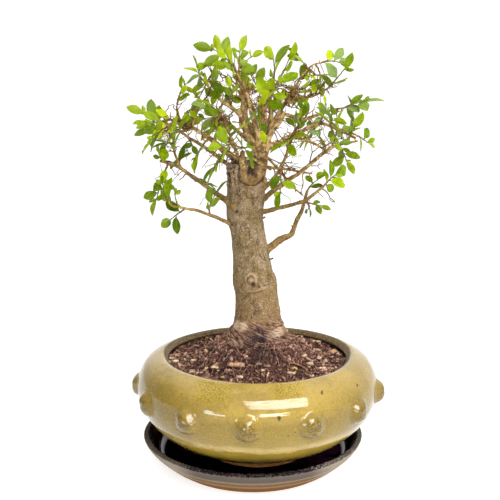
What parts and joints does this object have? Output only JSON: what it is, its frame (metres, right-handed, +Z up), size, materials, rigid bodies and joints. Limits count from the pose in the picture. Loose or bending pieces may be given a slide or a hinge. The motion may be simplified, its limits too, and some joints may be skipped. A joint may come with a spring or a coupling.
{
  "type": "chinese elm bonsai",
  "caption": "Chinese elm bonsai with a thick tapering trunk and small toothed leaves, in a round glazed pot with raised bosses on a shallow glazed drip tray.",
  "frame": {"origin": "centre of the flat base of the drip tray, on the surface it stands on", "axes": "+Z up along the pot, -Y towards the front of the plant, +X to the right seen from the front"},
  "size_m": [0.2591, 0.2597, 0.433],
  "materials": {
    "tray_glaze": "gloss",
    "pot_glaze": "gloss",
    "mesh_plastic": "matte",
    "soil": "matte",
    "bark": "matte",
    "leaf": "satin"
  },
  "bodies": {
    "root": {"drip_tray": "tray_glaze", "pot": "pot_glaze", "drainage_mesh": "mesh_plastic", "soil": "soil", "wood": "bark", "spray_01": "leaf", "spray_02": "leaf", "spray_03": "leaf", "spray_04": "leaf", "spray_05": "leaf", "spray_06": "leaf", "spray_07": "leaf", "spray_08": "leaf", "spray_09": "leaf", "spray_10": "leaf", "spray_11": "leaf", "spray_12": "leaf", "spray_13": "leaf", "spray_14": "leaf", "spray_15": "leaf", "spray_16": "leaf", "spray_17": "leaf", "spray_18": "leaf", "spray_19": "leaf", "spray_20": "leaf", "spray_21": "leaf", "spray_22": "leaf", "spray_23": "leaf", "spray_24": "leaf", "spray_25": "leaf", "spray_26": "leaf", "spray_27": "leaf", "spray_28": "leaf", "spray_29": "leaf", "spray_30": "leaf", "spray_31": "leaf", "spray_32": "leaf", "spray_33": "leaf", "spray_34": "leaf", "spray_35": "leaf", "spray_36": "leaf", "spray_37": "leaf", "spray_38": "leaf", "spray_39": "leaf", "spray_40": "leaf", "spray_41": "leaf", "spray_42": "leaf", "spray_43": "leaf", "spray_44": "leaf", "spray_45": "leaf", "spray_46": "leaf", "spray_47": "leaf", "spray_48": "leaf", "spray_49": "leaf", "spray_50": "leaf", "spray_51": "leaf", "spray_52": "leaf", "spray_53": "leaf", "spray_54": "leaf", "spray_55": "leaf"}
  },
  "joints": []
}
